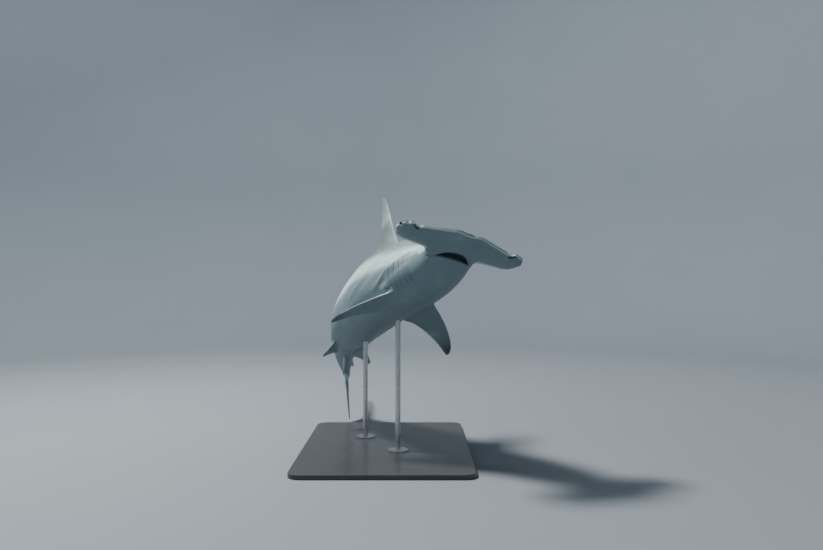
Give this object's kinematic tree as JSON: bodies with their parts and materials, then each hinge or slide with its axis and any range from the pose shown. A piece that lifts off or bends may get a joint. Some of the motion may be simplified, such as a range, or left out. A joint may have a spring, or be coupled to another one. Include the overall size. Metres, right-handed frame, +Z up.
{
  "type": "scalloped hammerhead shark model",
  "caption": "Life-size still model of a hammerhead shark swimming in a banked turn, held over a flat display base on rods.",
  "frame": {"origin": "the middle of the stand's underside, on the floor", "axes": "+Z up; +Y from the viewer of the picture into the picture, which is roughly from the shark's head to its tail; +X to that viewer's right"},
  "size_m": [1.1261, 2.2221, 1.4242],
  "materials": {
    "skin": "shark skin, light grey on the flanks and darker along the back, matt",
    "fin_skin": "shark skin on the fins, grey above, paler below, dusky at the tips",
    "eye": "glossy dark eye",
    "stand_board": "dark grey lacquered board, satin, with eased edges",
    "rod_steel": "brushed steel rods with round foot plates"
  },
  "bodies": {
    "root": {"head": "skin", "gill_region": "skin", "trunk": "skin", "tail_stem": "skin", "caudal_fin_upper_lobe": "fin_skin", "caudal_fin_lower_lobe": "fin_skin", "first_dorsal_fin": "fin_skin", "second_dorsal_fin": "fin_skin", "anal_fin": "fin_skin", "pectoral_fin_right": "fin_skin", "pectoral_fin_left": "fin_skin", "pelvic_fin_right": "fin_skin", "pelvic_fin_left": "fin_skin", "eye_right": "eye", "eye_left": "eye", "stand_base": "stand_board", "stand_rod_front": "rod_steel", "stand_rod_rear": "rod_steel"}
  },
  "joints": []
}
